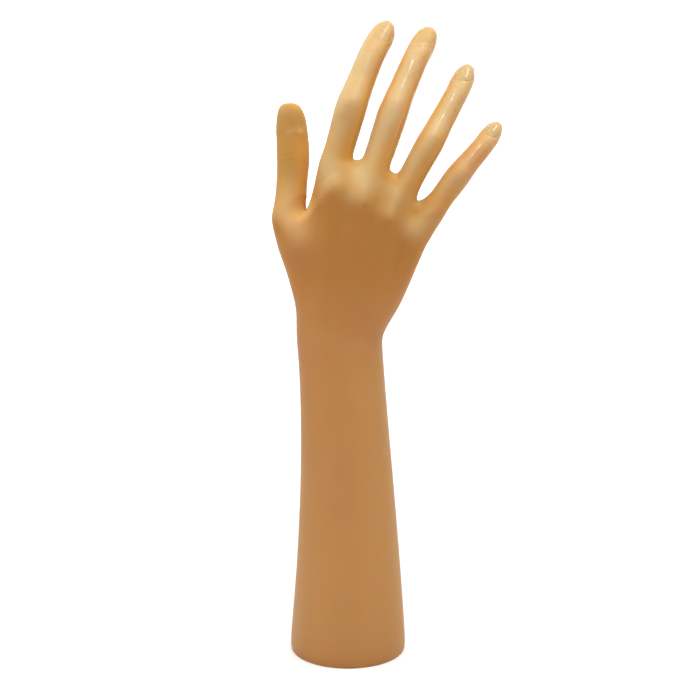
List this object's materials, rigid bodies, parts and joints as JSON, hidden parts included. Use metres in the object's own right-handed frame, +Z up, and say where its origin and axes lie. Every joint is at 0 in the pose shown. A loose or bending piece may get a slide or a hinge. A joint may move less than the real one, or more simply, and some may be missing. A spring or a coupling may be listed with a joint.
{
  "type": "hand jewelry stand",
  "caption": "Upright mannequin hand and forearm with spread fingers and moulded nails on a flat weighted foot, for showing rings, bracelets and watches.",
  "frame": {"origin": "centre of the flat foot, on the surface the stand rests on", "axes": "+Z up along the forearm, +X from the thumb side to the little finger side, +Y from the back of the hand to the palm"},
  "size_m": [0.1123, 0.0586, 0.3189],
  "materials": {
    "skin_vinyl": "flesh-tone soft vinyl, satin on the arm and glossier on the fingers",
    "plug_plastic": "moulded, fine matte",
    "cast_weight": "as cast",
    "zinc_steel": "zinc plated"
  },
  "bodies": {
    "root": {"hand_shell": "skin_vinyl", "base_plug": "plug_plastic", "ballast_weight": "cast_weight", "ballast_washer": "zinc_steel", "ballast_screw": "zinc_steel"}
  },
  "joints": []
}
